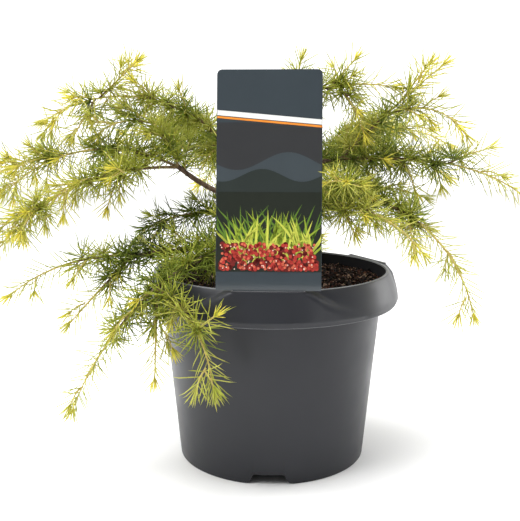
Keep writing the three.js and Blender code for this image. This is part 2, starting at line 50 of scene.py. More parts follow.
GAP = 0.3
POT = Values(
    turn=-2.4, wall=2, foot_radius=85.6, floor_height=9.4, floor_thickness=2.4, centre_foot=16,
    shoulder_height=158, shoulder_radius=101, ridge_inner=103.7, ridge_outer=107, height=172.6,
    ridge_depth=5, slope_radius=111.5, slope_height=162.6, skirt_radius=115, skirt_widest=147.6,
    skirt_bottom=143.5, lip_radius=113.2,
)
INNER_FOOT, INNER_SHOULDER = POT.foot_radius - POT.wall, POT.shoulder_radius - POT.wall
# The rim's face between its pockets: [height, radius] from the skirt's widest place up to the ridge.
RIM_FACE = (
    (147.6, 115), (150, 114.6), (153.5, 113.8), (157, 112.7), (160.4, 111.6), (164, 110.5),
    (167.5, 109.2), (170, 108.1), (171.6, 107.1))
# A notch in the foot bends the wall's rows, less and less up to the height given as fade.
NOTCH = Values(top=26, bottom=43, height=8.5, round=6, fade=30)
# A pocket's flanks are [height, how much wider it is to each side], and their edges are softened.
POCKET = Values(
    count=3, width=86, front=108.2, proud=0.5, slot=1.6, slot_width=60, slot_depth=10, merge=(148, 173),
    flanks=((148, 40), (151, 34), (154, 27), (157, 20), (160, 13), (163, 7), (166, 2), (168, -2),
            (170.5, -6), (173, -12)), soft=9, softer=0.4,
)
# Rows painted pale as a highlight on the ridge's crest and the lip's lower edge, counted from the first
# of the inside and of the rim's face.
PAINTED_HIGHLIGHT_CREST, PAINTED_HIGHLIGHT_LIP = (-7, 2), (-5, -3)
LABEL = Values(width=83.4, tongue=56, thickness=1, place=105.8, lean=10, bend=178, top=345.4, corner=4)
LABEL_SLOPE = tan(radians(LABEL.lean))
SOIL = Values(height=161, rise=0.8, tilt=0.014, chips=9000)
TRUNK = Values(
    foot=(2, 6), foot_radius=6.2, tip_radius=2, flare=5.5, flare_height=18, lobes=5, lobe_depth=0.35)
LIMB = Values(foot_radius=2.3, tip_radius=1.5)
STEP = 20  # a line of the tree grows in steps of about this length
# A line is its azimuth, swing, rise, droop, bend and length.
TRUNK_LINE = (5, 0, 79, -9, 1, 172)

# Each bough: the height of its foot on the trunk, and its line.
BOUGHS = dict(
    left=(67, 187, 2, 2, -38, 1, 106),
    left_high=(98, 171, 0, 24, -6, 1, 72),
    left_low=(59, 176, 0, 6, 8, 1, 62),
    left_under=(52, 206, -14, -16, -14, 1, 142),
    front_left=(45, 226, -8, 0, 27, 1, 146),
    right=(98, 350, 6, 24, 14, 1, 48),
    right_top=(150, 15, 0, 50, 0, 1, 30),
    right_low=(70, 342, 0, 18, 8, 1, 54),
    right_front=(62, 300, 4, 18, 14, 1, 66),
    back_left=(94, 132, 6, 20, 4, 1, 84),
    back=(82, 92, 0, 18, 14, 1, 92),
    back_fall=(52, 84, 0, 12, 40, 1, 124),
    back_right=(90, 52, -6, 22, 6, 1, 76),
)

# Each mass of foliage: what carries it, its stem, and its forks, each with its share of the stem first.
MASSES = dict(
    left_droop=("left", (194, 8, 2, 60, 1.2, 190),
        (0.26, 205, 0, -52, 24, 1, 34), (0.62, 196, 10, -12, 46, 1, 64)),
    left_out=("left", (170, 2, 27, 72, 1, 182), (0.6, 172, 0, 0, 30, 1, 74)),
    left_green=("left", (140, 24, 70, 64, 1, 92), (0.55, 184, 0, 16, 60, 1, 56)),
    left_crown=("left_high", (174, 2, 44, 78, 1, 180),
        (0.68, 345, 0, 40, 0, 1, 50), (0.7, 230, 0, -50, 4, 1, 44)),
    left_shade=("left_low", (164, 0, 2, 30, 1, 76), (0.68, 222, -14, -50, -20, 1, 42)),
    left_tail=("left_under", (188, 0, 2, 42, 1.2, 112)),
    left_tail_low=("left_under", (206, 12, -42, 0, 1, 80)),
    front_left_out=("front_left", (180, -8, -42, 26, 1, 130)),
    front_left_drop=("front_left", (268, 0, -74, 0, 1, 74)),
    front_left_in=("front_left", (332, -38, -22, 50, 1, 103), (0.5, 320, 0, 36, 0, 1, 26)),
    right_long=("right", (355, -8, 1, 52, 2.2, 190),
        (0.5, 20, 0, 24, 14, 1, 46), (0.42, 340, 0, -50, 30, 1, 24), (0.27, 330, 0, -40, 40, 1, 34)),
    right_up=("right", (354, -2, 46, 6, 1, 120),
        (0.62, 16, 0, 56, 10, 1, 40), (0.42, 345, -18, 34, 90, 1, 84)),
    right_top=("right_top", (352, 0, 14, 24, 1, 70),
        (0.2, 12, 0, 48, 0, 1, 34), (0.3, 322, -20, -44, 20, 1, 54)),
    right_dense=("right_low", (12, -10, 14, 38, 1, 78)),
    right_tail=("right_low", (340, -40, -8, 62, 1.2, 168)),
    right_near=("right_low", (268, -4, 14, 8, 1, 82)),
    right_front=("right_front", (333, -14, 4, 50, 1, 96), (0.14, 298, 0, -46, 4, 1, 28)),
    leader=(172, (340, 0, 88, 16, 1, 28)),
    crown_left=(128, (168, 0, 42, 30, 1, 56)),
    crown_back=(138, (82, 0, 44, 40, 1, 72)),
    front_short=(84, (262, 0, 26, 50, 1, 62)),
    back_left_high=("back_left", (146, 8, 30, 64, 1, 160), (0.34, 112, 0, 22, 60, 1, 84)),
    back_left_low=("back_left", (108, -6, -6, 30, 1, 124)),
    back=("back", (96, 0, 4, 76, 1, 128), (0.25, 66, 0, 4, 60, 1, 74), (0.3, 118, -8, 0, 60, 1, 70)),
    back_fall_left=("back_fall", (128, 20, -34, 36, 1, 110)),
    back_fall_right=("back_fall", (48, -20, -30, 36, 1, 116)),
    back_right_high=("back_right", (34, -8, 32, 60, 1, 156), (0.32, 60, 0, 26, 54, 1, 76)),
    back_right_low=("back_right", (66, -10, -4, 42, 1, 126)),
    back_mid=(114, (104, 0, 34, 60, 1, 112)),
    left_back=("back_left", (176, -6, 8, 40, 1, 118)),
    right_back=("back_right", (2, 10, 12, 48, 1, 118)),
)
FIRST_SEED = 11

# Side shoots leave a line on alternate sides: by the source's own rule, by one for finer twigs, and by
# one for the boughs. A pair is the least value and what chance adds.
SIDE_SHOOTS = Values(
    spacing=40, place=(0.35, 0.5), base=16, share=0.16, reach=(0.7, 0.6), taper=0.55, angle=(38, 24),
    roll=(-25, 80), droop=35)
FINE_SHOOTS = Values(
    spacing=15, place=(0.15, 0.7), base=14, share=0.05, reach=(0.6, 0.8), taper=0.45, angle=(42, 26),
    roll=(-60, 150), droop=26)
BOUGH_SHOOTS = Values(
    spacing=13, place=(0.2, 0.6), base=20, share=0.08, reach=(0.6, 0.8), taper=0.3, angle=(46, 26),
    roll=(-70, 200), droop=20)
BARK_DEPTH = 0.6  # how far the bark stands out from a bough's solid
BARE_STEMS = dict(left_droop=42, left_out=24)  # the length at the foot of a stem without shoots
BARE_OF_SPURS = 0.6  # the share of that length without spurs
BARE_BOUGHS = dict(left=0.9)  # the inner share of a bough without shoots
BARE_BOUGH = 0.35  # the same for all the others
ROOM = Values(between=2.6, limb=1.6, pot=2, rim=4)  # between masses, and to limbs, pot and rim
TEST_SHARES = (0.4, 0.7, 1)  # where a shoot or needle is tested

# Needles: the tints run from the youngest tips to the oldest inner sprays.
NEEDLE = Values(length=23.5, radius=0.48, bow=0.045, triangles=16)
YOUNG = Values(
    spacing=1.6, angle=(62, 22), jitter=12, closing=14, lengths=(0.85, 0.25), tip_length=0.66,
    tip_count=9, tip_angle=(8, 34), tip_lengths=(0.75, 0.35))
ROSETTE = Values(
    spacing=5.4, count=(18, 12), angle=(18, 84), lengths=(0.78, 0.34), knob=2.2, knob_radius=0.95,
    forward=0.45, lift=0.25, youth=0.55, bough_youth=0.7)
# By rank: stems, forks, side shoots and fine shoots.
TWIG_RADIUS = (1.45, 1.05, 0.9, 0.65)  # at the foot
OLD_SHARE = (0.45, 0.3, 0.2, 0)  # the inner share that bears rosettes
YOUTH = (0.7, 0.7, 0.68, 0.62)  # from 1 for the palest tint to 0 for the darkest
# The inner share of their lines where masses bear fine shoots, and of those where it differs.
FINE_SHARE = 0.5
FINE_SHARES = dict(
    left_shade=1, left_green=1, left_out=1, left_droop=0.8, left_crown=1, crown_left=1, right_dense=1,
    right_long=0.15, front_left_out=0.1, left_tail=0.2, left_tail_low=0.2, front_left_in=0.3)
# How young a mass's foliage looks, where it isn't 1: darker in the shade and paler in the crown's light,
# partly the needles' own colour and partly painted shade and painted light.
YOUTH_AND_PAINTED_LIGHT = dict(
    left_shade=0.35, left_green=0.76, right_dense=0.82, crown_left=0.8, front_short=0.7, back_mid=0.8,
    front_left_in=0.8, left_tail=0.95, left_crown=1.1, right_up=1.2, right_top=1.12, left_droop=1.08)
TWIG_TIP = 0.5  # radius
TIP_YOUTH = 1.35  # how much younger a shoot's tip looks than the rest of it
BOUGH_YOUTH = 0.42
TINT_SCATTER = 2.4
TINTS = dict(
    gold=(0.74, 0.65, 0.08), straw=(0.59, 0.55, 0.085), olive=(0.48, 0.475, 0.09),
    fresh=(0.36, 0.385, 0.05), green=(0.17, 0.22, 0.022), deep=(0.065, 0.095, 0.012))
PIECE_LIMIT = 190_000  # triangles

# The label's print: heights of its zones on the card, and how its slips lie on each other.
PRINT = Values(
    border=0.4, layer=0.05, thickness=0.04, picture=(188, 250), field=304, stripe_slope=0.09, blades=46)

# --- Lines of the tree, by the source's rule ---

WORD = 0xFFFFFFFF
UP = np.array((0.0, 0.0, 1.0))


def seeded(seed):
    """Random numbers between 0 and 1, the same ones as in the part's source."""
    state = seed & WORD

    def draw():
        nonlocal state
        state = (state + 0x6D2B79F5) & WORD
        t = ((state ^ (state >> 15)) * (1 | state)) & WORD
        t = ((t + (((t ^ (t >> 7)) * (61 | t)) & WORD)) & WORD) ^ t
        return (t ^ (t >> 14)) / (WORD + 1)
    return draw


def between(random, span):
    return span[0] + span[1] * random()


def mix(start, end, share):
    return start + (end - start) * share


def unit(vector):
    return vector / norm(vector)


def heading(azimuth, pitch):
    a, p = radians(azimuth), radians(pitch)
    return np.array((cos(p) * cos(a), cos(p) * sin(a), sin(p)))


def grow(start, azimuth, swing, rise, droop, bend, length):
    """A line that swings round and droops more and more on its way."""
    steps = max(2, int(length / STEP + 0.5))
    line = [np.array(start, float)]
    for i in range(steps):
        t = (i + 0.5) / steps
        line.append(line[-1] + heading(azimuth + swing * t, rise - droop * t ** bend) * (length / steps))
    return np.array(line)


def along(line, share):
    """The point at a share of a line's length, and the line's direction there."""
    place = share * (len(line) - 1)
    i = min(int(place), len(line) - 2)
    return mix(line[i], line[i + 1], place - i), unit(line[i + 1] - line[i])


def line_length(line):
    return float(norm(np.diff(line, axis=0), axis=1).sum())


def shares_of(line):
    """How far along its line each point is, from 0 to 1."""
    return np.arange(len(line)) / (len(line) - 1)


def on_circle(radius, angle):
    return radius * cos(angle), radius * sin(angle)


def all_round(sides):
    return np.arange(sides) * tau / sides


def leaning(way, out, angle):
    """The direction at an angle from one direction towards another that is square to it."""
    return way * cos(angle) + out * sin(angle)


def level_across(way):
    across = np.cross(way, UP)
    size = norm(across)
    return across / size if size >= 0.05 else np.array((1.0, 0.0, 0.0))


def leaving(way, angle, roll, side):
    """The direction that leaves a line at an angle from it, rolled round it from level."""
    level, r = level_across(way), radians(roll)
    out = level * (side * cos(r)) + np.cross(level, way) * sin(r)
    return leaning(way, out, radians(angle))


def side_shoots(line, random, rule, inner=1):
    """Shoots by a rule on the inner share of a line."""
    length = line_length(line)
    count = int(length / rule.spacing)
    grown = []
    for k in range(count):
        share = (k + between(random, rule.place)) / count
        point, way = along(line, share)
        roll = between(random, rule.roll)
        angle = between(random, rule.angle)
        out = leaving(way, angle, roll, 1 if k % 2 else -1)
        full = (rule.base + rule.share * length) * (1 - rule.taper * share)
        reach = full * between(random, rule.reach)
        if share <= inner:
            azimuth, pitch = degrees(atan2(out[1], out[0])), degrees(asin(out[2]))
            grown.append(grow(point, azimuth, 0, pitch, rule.droop, 1, reach))
    return grown


AXIS = grow((*TRUNK.foot, SOIL.height + GAP), *TRUNK_LINE)
TRUNK_HEIGHT = TRUNK_LINE[-1]


def on_trunk(height):
    return along(AXIS, height / TRUNK_HEIGHT)[0]


BOUGH_LINES = {name: grow(on_trunk(foot), *line) for name, (foot, *line) in BOUGHS.items()}
MASS_LINES = {}
for name, (carrier, stem, *forks) in MASSES.items():
    main = grow(BOUGH_LINES[carrier][-1] if carrier in BOUGHS else on_trunk(carrier), *stem)
    MASS_LINES[name] = [main, *(grow(along(main, share)[0], *line) for share, *line in forks)]

# --- Spaces: where twigs and needles may be ---


def distances(points, lines):
    """The distance from each point to the nearest of some lines."""
    starts = np.concatenate([line[:-1] for line in lines])
    spans = np.concatenate([np.diff(line, axis=0) for line in lines])
    squares = (spans ** 2).sum(1)
    least = np.full(len(points), np.inf)
    for start, span, square in zip(starts, spans, squares):
        offset = points - start
        share = np.clip(offset @ span / square, 0, 1)
        least = np.minimum(least, ((offset - share[:, None] * span) ** 2).sum(1))
    return np.sqrt(least)


def turned(points, turn):
    """Points turned round Z by some degrees."""
    c, s = cos(radians(turn)), sin(radians(turn))
    x, y, z = points.T
    return np.stack([c * x - s * y, s * x + c * y, z], axis=1)


def label_face(z):
    return -LABEL.place + np.maximum(0, z - LABEL.bend) * LABEL_SLOPE


def clear_of_pot(points):
    room = ROOM.pot
    radius, z = np.hypot(points[:, 0], points[:, 1]), points[:, 2]
    over_soil = (radius < POT.ridge_inner - ROOM.rim) & (z > SOIL.height + room)
    pocket_reach = hypot(POCKET.width / 2, POCKET.front)
    wall_reach = np.where(z > POT.skirt_bottom - room, pocket_reach, POT.shoulder_radius)
    return (z > room) & (over_soil | (z > POCKET.merge[1] + room) | (radius > wall_reach + room))


def clear_of_label(points):
    room = ROOM.pot
    x, y, z = turned(points, -POT.turn).T
    beyond = (np.abs(x) > LABEL.width / 2 + room) | (z > LABEL.top + room)
    return beyond | (np.abs(y - label_face(z)) > LABEL.thickness / 2 + room)


def clear_of_limbs(points, room):
    clear = distances(points, [AXIS]) > TRUNK.foot_radius + room
    return clear & (distances(points, list(BOUGH_LINES.values())) > LIMB.foot_radius + room)


def test_points(line):
    return np.array([along(line, share)[0] for share in TEST_SHARES])


def clear_shoot(line):
    points = test_points(line)
    clear = clear_of_limbs(points, ROOM.limb) & clear_of_pot(points) & clear_of_label(points)
    return bool(clear.all())


def may_grow(line, mass):
    """Whether a shoot keeps to its mass's own space, clear of limbs, pot and label."""
    points = test_points(line)
    own = distances(points, MASS_LINES[mass])
    others = [other for name, lines in MASS_LINES.items() if name != mass for other in lines]
    apart = distances(points, others) > own + ROOM.between
    return bool(apart.all()) and clear_shoot(line)


# --- Meshes ---


def placed(name, data):
    """A new object in the scene."""
    thing = bpy.data.objects.new(name, data)
    bpy.context.scene.collection.objects.link(thing)
    return thing


def add_piece(name, vertices, faces, materials, slot, replaced=(), smooth=True, material_of=None):
    """One mesh that rides on the only body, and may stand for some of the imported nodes."""
    mesh = bpy.data.meshes.new(name)
    mesh.from_pydata((np.asarray(vertices, float) * MM).tolist(), [], faces)
    mesh.polygons.foreach_set("use_smooth", [smooth] * len(mesh.polygons))
    for material in materials:
        mesh.materials.append(material)
    if material_of is not None:
        mesh.polygons.foreach_set("material_index", material_of)
    mesh.update()
    piece = placed(name, mesh)
    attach(piece, "root")
    if replaced:
        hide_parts(*replaced)


def joined(parts):
    """Vertices and faces of many small meshes as one."""
    vertices, faces, first = [], [], 0
    for part_vertices, part_faces in parts:
        vertices.append(part_vertices)
        faces.extend([tuple(corner + first for corner in face) for face in part_faces])
        first += len(part_vertices)
    return np.concatenate(vertices), faces


def smoothed(line, spacing):
    """A line resampled along a Catmull-Rom curve."""
    padded = np.concatenate([[2 * line[0] - line[1]], line, [2 * line[-1] - line[-2]]])
    cuts = max(2, ceil(line_length(line) / (len(line) - 1) / spacing))
    points = []
    for a, b, c, d in zip(padded, padded[1:], padded[2:], padded[3:]):
        for t in np.arange(cuts) / cuts:
            points.append(0.5 * (2 * b + (c - a) * t + (2 * a - 5 * b + 4 * c - d) * t * t
                                 + (3 * b - a - 3 * c + d) * t ** 3))
    return np.array([*points, line[-1]])


def frames_along(line):
    """Two directions across a line at each of its points, which don't twist along it."""
    ways = np.gradient(line, axis=0)
    ways /= norm(ways, axis=1)[:, None]
    across = level_across(ways[0])
    first = []
    for way in ways:
        across = unit(across - way * (across @ way))
        first.append(across)
    return np.array(first), np.cross(ways, first)


def tube(line, radii, sides, relief=None):
    """A closed limb round a line; relief multiplies the radius of every ring at every angle."""
    first, second = frames_along(line)
    angles = all_round(sides)
    radii = np.broadcast_to(np.asarray(radii, float)[:, None], (len(line), sides))
    if relief is not None:
        radii = radii * relief
    circle = first[:, None] * np.cos(angles)[:, None] + second[:, None] * np.sin(angles)[:, None]
    vertices = (line[:, None] + circle * radii[..., None]).reshape(-1, 3)
    last = len(vertices) - sides
    faces = [tuple(range(sides))[::-1]]
    for a in range(last):
        b = a + 1 if (a + 1) % sides else a + 1 - sides
        faces.append((a, b, b + sides, a + sides))
    return vertices, [*faces, tuple(range(last, last + sides))]


# --- Materials ---


CLOUDING = 0.06  # how much the plastic's roughness varies


def set_sockets(node, **values):
    """Even values for some of a node's sockets, which are named with _ for a space."""
    for name, value in values.items():
        node.inputs[name.replace("_", " ")].default_value = value
    return node


def new_node(tree, kind, **values):
    return set_sockets(tree.nodes.new("ShaderNode" + kind), **values)


def noise_node(tree, scale, detail, roughness=0.55, stretch=(1, 1, 1)):
    """Noise over the object's own place, stretched along its axes; scale is per metre."""
    place = new_node(tree, "TexCoord")
    mapping = new_node(tree, "Mapping", Scale=stretch)
    texture = new_node(tree, "TexNoise", Scale=scale, Detail=detail, Roughness=roughness)
    tree.links.new(place.outputs["Object"], mapping.inputs["Vector"])
    tree.links.new(mapping.outputs["Vector"], texture.inputs["Vector"])
    return texture.outputs["Fac"]


def range_node(tree, source, span, result):
    """A value within one span spread over another."""
    spread = new_node(tree, "MapRange")
    set_sockets(spread, From_Min=span[0], From_Max=span[1], To_Min=result[0], To_Max=result[1])
    tree.links.new(source, spread.inputs["Value"])
    return spread.outputs["Result"]


def bumpy(shader, grain, strength, depth):
    """A bump of noise: grain is what noise_node takes."""
    tree = shader.id_data
    bump = new_node(tree, "Bump", Strength=strength, Distance=depth * MM)
    tree.links.new(noise_node(tree, *grain), bump.inputs["Height"])
    tree.links.new(bump.outputs["Normal"], shader.inputs["Normal"])


def mottled(shader, grain, places, colours):
    """The base colour dealt along noise, a colour at each place."""
    tree = shader.id_data
    ramp = new_node(tree, "ValToRGB")
    elements = ramp.color_ramp.elements
    while len(elements) < len(places):
        elements.new(0.5)
    for element, place, colour in zip(elements, places, colours):
        element.position = place
        element.color = (*colour, 1)
    tree.links.new(noise_node(tree, *grain), ramp.inputs["Fac"])
    tree.links.new(ramp.outputs["Color"], shader.inputs["Base Color"])


def new_material(name, **values):
    """A material and its shader with some of the sockets set."""
    material = bpy.data.materials.new(name)
    material.use_nodes = True
    return material, set_sockets(material.node_tree.nodes["Principled BSDF"], **values)


def plastic_material(name, dark, light, roughness, specular):
    """Black-grey moulded plastic, faintly cloudy."""
    material, shader = new_material(name, Specular_IOR_Level=specular)
    mottled(shader, (9, 4), (0.3, 0.7), (dark, light))
    tree, result = material.node_tree, (roughness - CLOUDING, roughness + CLOUDING)
    cloudy = range_node(tree, noise_node(tree, 30, 5), (0.3, 0.7), result)
    tree.links.new(cloudy, shader.inputs["Roughness"])
    bumpy(shader, (1500, 2), 0.25, 0.06)
    return material


def card_material(name, colour):
    """Printed card under a clear film, with the print's faint unevenness."""
    material, shader = new_material(name, Roughness=0.32, Coat_Weight=0.35, Coat_Roughness=0.12)
    lighter = tuple(min(1, channel * 1.07) for channel in colour)
    mottled(shader, (40, 3), (0.35, 0.65), (colour, lighter))
    bumpy(shader, (220, 2), 0.08, 0.05)
    return material


def soil_material(name, *colours):
    material, shader = new_material(name, Roughness=0.95, Specular_IOR_Level=0.2)
    mottled(shader, (420, 4), (0.35, 0.7), colours)
    bumpy(shader, (1100, 4), 0.7, 0.4)
    return material


def bark_material(name, *colours):
    material, shader = new_material(name, Roughness=0.82, Specular_IOR_Level=0.3)
    mottled(shader, (260, 5, 0.65, (1, 1, 0.35)), (0.32, 0.5, 0.72), colours)
    bumpy(shader, (700, 5, 0.6, (1, 1, 0.4)), 0.6, 0.35)
    return material


def needle_material(name, colour):
    """Needles of one tint: a waxy skin that lets a little light in."""
    material, shader = new_material(
        name, Base_Color=(*colour, 1), Roughness=0.5, Specular_IOR_Level=0.22, Subsurface_Weight=0.12,
        Subsurface_Radius=(0.6, 1.0, 0.2), Subsurface_Scale=0.4 * MM)
    bumpy(shader, (1600, 2), 0.15, 0.05)
    return material


# --- Pot ---


def smoothstep(value, low, high):
    t = np.clip((value - low) / (high - low), 0, 1)
    return t * t * (3 - 2 * t)


def pot_columns():
    """Angles of the pot's columns, closer at the sides of pockets, slots and notches."""
    third = 360 / POCKET.count
    zones = ((6.5, 14.5, 0.4), (14.5, 18, 0.25), (18, 30, 0.5))
    close = np.concatenate([np.arange(*zone) for zone in zones])
    offsets = np.concatenate([np.arange(-third / 2, third / 2, 2.5), close, -close])
    offsets = np.unique(np.round(offsets, 2))
    return np.radians(np.concatenate([offsets + third * k for k in range(POCKET.count)]))


def rounded(corners, radius):
    """A profile of (radius, height) corners, each rounded off."""
    corners = np.asarray(corners, float)
    points = [corners[0]]
    for before, here, after in zip(corners, corners[1:], corners[2:]):
        size = min(radius, 0.45 * norm(before - here), 0.45 * norm(after - here))
        start, end = here + unit(before - here) * size, here + unit(after - here) * size
        for t in np.linspace(0, 1, 5):
            points.append(start * (1 - t) ** 2 + 2 * here * t * (1 - t) + end * t * t)
    return np.array([*points, corners[-1]])


def outside_profile():
    """The pot's outside from the middle of its underside up to the skirt's widest place."""
    p, wall, floor = POT, POT.wall, POT.floor_height
    foot = rounded([
        (0.01, 0), (p.centre_foot, 0), (p.centre_foot + wall, floor), (40, floor), (41, floor - 1),
        (44, floor - 1), (45, floor), (INNER_FOOT, floor), (INNER_FOOT, 0), (p.foot_radius, 0),
        (p.foot_radius + 1.2, 12),
    ], 0.9)
    climb = np.linspace(0.1, 0.96, 18)
    side = np.stack([mix(p.foot_radius, p.shoulder_radius, climb), p.shoulder_height * climb], axis=1)
    skirt = rounded([
        (p.shoulder_radius - 0.2, p.shoulder_height - 3), (p.shoulder_radius, p.shoulder_height),
        (p.ridge_inner + 1, p.height - p.ridge_depth), (p.slope_radius - wall, p.slope_height - wall),
        (p.skirt_radius - wall, p.skirt_widest), (p.lip_radius - wall, p.skirt_bottom),
        (p.lip_radius, p.skirt_bottom), (p.skirt_radius, p.skirt_widest),
    ], 1.0)
    return np.concatenate([foot, side, skirt])


def inside_profile():
    """The pot's inside from its ridge down to the middle of its floor."""
    p, floor = POT, POT.floor_height + POT.floor_thickness
    return rounded([
        (p.ridge_inner + 0.4, p.height - 0.5), (p.ridge_inner, p.height - 1.5),
        (INNER_SHOULDER, p.shoulder_height), (INNER_FOOT, floor), (0.01, floor),
    ], 1.2)


def in_notch(x):
    """How high a notch cuts the pot's foot at a distance from its middle."""
    top, bottom = NOTCH.top / 2, NOTCH.bottom / 2
    side = bottom - NOTCH.round
    heights = (NOTCH.height, NOTCH.height, NOTCH.round / 2, NOTCH.round / 8, 0)
    return np.interp(np.abs(x), (0, top, side, side + 2, bottom), heights)


def rim_rows(angle):
    """The rim's outer face and pockets: (radius, height) by column and row."""
    p, (low, top) = POT, POCKET.merge
    cosine = np.cos(angle)
    across = POCKET.front * np.tan(np.abs(angle))[:, None]
    share = np.linspace(0, 1, 22)[None, :]
    plain_z = mix(p.skirt_widest, p.height - 1, share)
    plain_r = np.interp(plain_z, *np.transpose(RIM_FACE))
    full_z = mix(low, top - 0.6, share)
    flat = (full_z - low) / (top - low)
    widest = p.skirt_radius + POCKET.proud
    full_r = np.minimum(widest * (1 - flat) + POCKET.front / cosine[:, None] * flat, widest)
    half = POCKET.width / 2 + np.interp(full_z, *np.transpose(POCKET.flanks))
    soft = POCKET.soft + POCKET.softer * np.maximum(0, half - POCKET.width / 2)
    mask = 1 - smoothstep(across, half - soft, half + soft)
    face_r, face_z = mix(plain_r, full_r, mask), mix(plain_z, full_z, mask)

    # Over the wall's top, into the slot and up the ridge's back; elsewhere on the ridge's shoulder.
    inner_wall = LABEL.place + POCKET.slot / 2
    back = np.minimum(p.ridge_outer - 1, (LABEL.place - POCKET.slot / 2) / cosine)
    bottom = top - POCKET.slot_depth
    slot = [
        ((POCKET.front - 0.15) / cosine, top - 0.25), ((POCKET.front - 0.5) / cosine, top),
        ((inner_wall + 0.4) / cosine, top), (inner_wall / cosine, top - 0.4),
        (inner_wall / cosine, bottom), (back, bottom), (back, p.height - 0.5),
        (back - 0.4, p.height - 0.05),
    ]
    inward = np.linspace(0.08, 1, len(slot))
    crest = p.ridge_outer - 2.9 * inward
    crest_z = p.height - 0.7 * (1 - inward) ** 4
    open_here = (across[:, 0] < POCKET.slot_width / 2).astype(float)
    radii = [mix(c, r, open_here) for c, (r, _) in zip(crest, slot)]
    heights = [mix(c, z, open_here) for c, (_, z) in zip(crest_z, slot)]
    return np.stack([np.column_stack([face_r, *radii]), np.column_stack([face_z, *heights])], axis=2)


def make_pot(outside, inside, painted_highlight):
    """The pot as columns of one profile, with the rim's pockets and the foot's notches."""
    columns = pot_columns()
    third = tau / POCKET.count
    angle = (columns + third / 2) % third - third / 2
    below, within = outside_profile(), inside_profile()
    first, last = (np.repeat(profile[None], len(columns), 0) for profile in (below, within))
    surface = np.concatenate([first, rim_rows(angle), last], axis=1)
    radius, height = surface[..., 0], surface[..., 1]
    count, rows = radius.shape
    lifts = (np.arange(rows) < len(below)) & (radius[0] > POT.foot_radius - 2 * POT.wall)
    rise = in_notch(radius * np.sin(angle)[:, None]) * np.clip(1 - height / NOTCH.fade, 0, 1)
    height = height + lifts * rise

    turn = (columns + radians(POT.turn - 90))[:, None]
    vertices = np.stack([radius * np.cos(turn), radius * np.sin(turn), height], axis=2).reshape(-1, 3)
    faces = []
    for c in range(count):
        here, after = c * rows, (c + 1) % count * rows
        faces += [(here + r, after + r, after + r + 1, here + r + 1) for r in range(rows - 1)]
    inner = rows - len(within)
    # The inside rows take a darker, duller copy of the same plastic: painted shade.
    row_material = (np.arange(rows - 1) > inner).astype(int)
    # Rows of the ridge's crest and the lip's lower edge take a pale copy of the plastic: a painted
    # highlight.
    for first, (start, end) in ((inner, PAINTED_HIGHLIGHT_CREST), (len(below), PAINTED_HIGHLIGHT_LIP)):
        row_material[first + start:first + end] = 2
    add_piece("pot_shell", vertices, faces, [outside, inside, painted_highlight], "pot_plastic", ["pot"],
              material_of=np.tile(row_material, count))


# --- Soil ---


def soil_top(x, y):
    """The soil's height: crumbs on a bed that is a little higher in front and on the right."""
    lumps = noise.fractal(Vector((x, y, 0)) / 12, 0.9, 2, 4)
    return SOIL.height + SOIL.rise + SOIL.tilt * (x - y) + lumps


def make_soil_bed(material):
    rings, sides = 44, 120
    climb = (SOIL.height - POT.shoulder_height) / (POT.height - 1 - POT.shoulder_height)
    outer = mix(INNER_SHOULDER, POT.ridge_inner, climb) - GAP
    floor, foot = POT.floor_height + POT.floor_thickness + GAP, INNER_FOOT - GAP
    angles = all_round(sides)
    vertices = [(0, 0, soil_top(0, 0))]
    for radius in np.linspace(0, outer, rings + 1)[1:]:
        places = [on_circle(radius, a) for a in angles]
        vertices += [(x, y, soil_top(x, y)) for x, y in places]
    for radius, height in ((foot, floor + 4), (foot - 3, floor)):
        vertices += [(*on_circle(radius, a), height) for a in angles]
    vertices.append((0, 0, floor))

    ends = [(j, (j + 1) % sides) for j in range(sides)]
    faces = [(0, 1 + j, 1 + k) for j, k in ends]
    last = 1 + (rings + 1) * sides
    for first in range(1, last, sides):
        faces += [(first + j, first + j + sides, first + k + sides, first + k) for j, k in ends]
    faces += [(last + j, len(vertices) - 1, last + k) for j, k in ends]
    add_piece("soil_bed", np.array(vertices), faces, [material], "potting_soil", ["soil"])


def make_soil_chips(materials):
    """Crumbs of bark and peat, most of them in the first of the materials."""
    random = np.random.default_rng(5)
    corners = np.array([(x, y, z) for x in (-1, 1) for y in (-1, 1) for z in (-1, 1)], float)
    box_faces = [(0, 1, 3, 2), (4, 6, 7, 5), (0, 4, 5, 1), (2, 3, 7, 6), (0, 2, 6, 4), (1, 5, 7, 3)]
    parts = [[] for _ in materials]
    for _ in range(SOIL.chips):
        x, y = on_circle(INNER_SHOULDER * sqrt(random.random()), tau * random.random())
        length = 0.5 + 1.2 * random.random() ** 2
        size = length * np.array((1, 0.4 + 0.5 * random.random(), 0.25 + 0.4 * random.random()))
        spin, tip, lean = random.normal(0, 1, 3) * (3, 0.4, 0.4)
        chip = turned(corners * size * (0.6 + 0.7 * random.random((8, 3))), degrees(spin))
        chip[:, 2] += chip[:, 0] * tip + chip[:, 1] * lean
        place = np.array((x, y, soil_top(x, y) + 0.3 * size[2]))
        kind = int(random.random() ** 2.2 * len(materials))
        if dist((x, y), TRUNK.foot) > TRUNK.foot_radius + TRUNK.flare:
            parts[kind].append((chip + place, box_faces))
    for i, (material, chips) in enumerate(zip(materials, parts)):
        add_piece(f"soil_chips_{i + 1}", *joined(chips), [material], "potting_soil", smooth=False)


# --- Label ---


def card_face(z):
    """The label's face with its bend eased over a few millimetres."""
    ease = 4
    over = np.maximum(0, z - LABEL.bend + ease)
    bent = np.where(over < 2 * ease, over ** 2 / (4 * ease), over - ease)
    return -LABEL.place + bent * LABEL_SLOPE


def on_label(points, out):
    """Points (x, z) of the label in space, moved forward from the middle of its thickness."""
    x, z = np.asarray(points, float).T
    return turned(np.stack([x, card_face(z) - out, z], axis=1), POT.turn)


